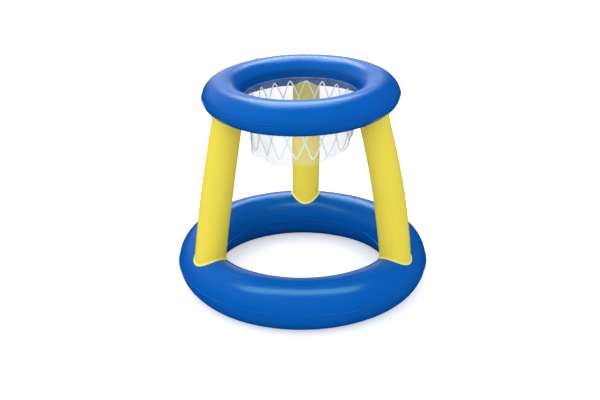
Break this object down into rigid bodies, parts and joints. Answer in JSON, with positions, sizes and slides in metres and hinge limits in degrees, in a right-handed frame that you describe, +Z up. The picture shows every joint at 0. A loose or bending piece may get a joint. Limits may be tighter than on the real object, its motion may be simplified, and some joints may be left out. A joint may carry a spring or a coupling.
{
  "type": "inflatable pool basketball hoop",
  "caption": "Inflated float ring that carries a raised hoop ring on upright tube posts, with a clear skirt printed as a net.",
  "frame": {"origin": "on the surface that the base ring stands on, at the ring's centre", "axes": "+Z up through the hoop, -Y towards the front, between the left and right posts, with the rear post at +Y"},
  "size_m": [0.615, 0.615, 0.5157],
  "materials": {
    "blue_vinyl": "smooth glossy inflated vinyl",
    "yellow_vinyl": "smooth satin inflated vinyl",
    "clear_film": "clear soft film",
    "white_print": "opaque white printed strips",
    "valve_plastic": "milky moulded vinyl"
  },
  "bodies": {
    "float": {"base_ring_upper_panel": "blue_vinyl", "base_ring_lower_panel": "blue_vinyl", "hoop_ring_upper_panel": "blue_vinyl", "hoop_ring_lower_panel": "blue_vinyl", "left_post": "yellow_vinyl", "right_post": "yellow_vinyl", "rear_post": "yellow_vinyl", "net_film": "clear_film", "net_lattice": "white_print", "base_valve_flange": "valve_plastic", "hoop_valve_flange": "valve_plastic"},
    "base_stem": {"base_valve_stem": "valve_plastic"},
    "base_cap": {"base_valve_cap": "valve_plastic"},
    "base_flap": {"base_valve_flap": "valve_plastic"},
    "hoop_stem": {"hoop_valve_stem": "valve_plastic"},
    "hoop_cap": {"hoop_valve_cap": "valve_plastic"},
    "hoop_flap": {"hoop_valve_flap": "valve_plastic"}
  },
  "joints": [
    {"name": "base_stem_slide", "type": "slide", "parent": "float", "child": "base_stem", "axis": [0.3987, 0.6905, 0.6035], "range_m": [0, 0.012]},
    {"name": "base_cap_hinge", "type": "hinge", "parent": "base_stem", "child": "base_cap", "pos_m": [0.14102, 0.26025, 0.09817], "axis": [-0.3018, -0.5227, 0.7973], "range_deg": [0, 150]},
    {"name": "base_flap_hinge", "type": "hinge", "parent": "base_stem", "child": "base_flap", "pos_m": [0.136, 0.24556, 0.08664], "axis": [0.3018, 0.5227, -0.7973], "range_deg": [0, 50], "stiffness_Nm_per_rad": 0.0002},
    {"name": "hoop_stem_slide", "type": "slide", "parent": "float", "child": "hoop_stem", "axis": [-0.3642, 0.5871, 0.723], "range_m": [0, 0.012]},
    {"name": "hoop_cap_hinge", "type": "hinge", "parent": "hoop_stem", "child": "hoop_cap", "pos_m": [-0.11972, 0.18603, 0.50213], "axis": [0.3437, -0.6368, 0.6902], "range_deg": [0, 150]},
    {"name": "hoop_flap_hinge", "type": "hinge", "parent": "hoop_stem", "child": "hoop_flap", "pos_m": [-0.11017, 0.17631, 0.48841], "axis": [-0.3437, 0.6368, -0.6902], "range_deg": [0, 50], "stiffness_Nm_per_rad": 0.0002}
  ]
}
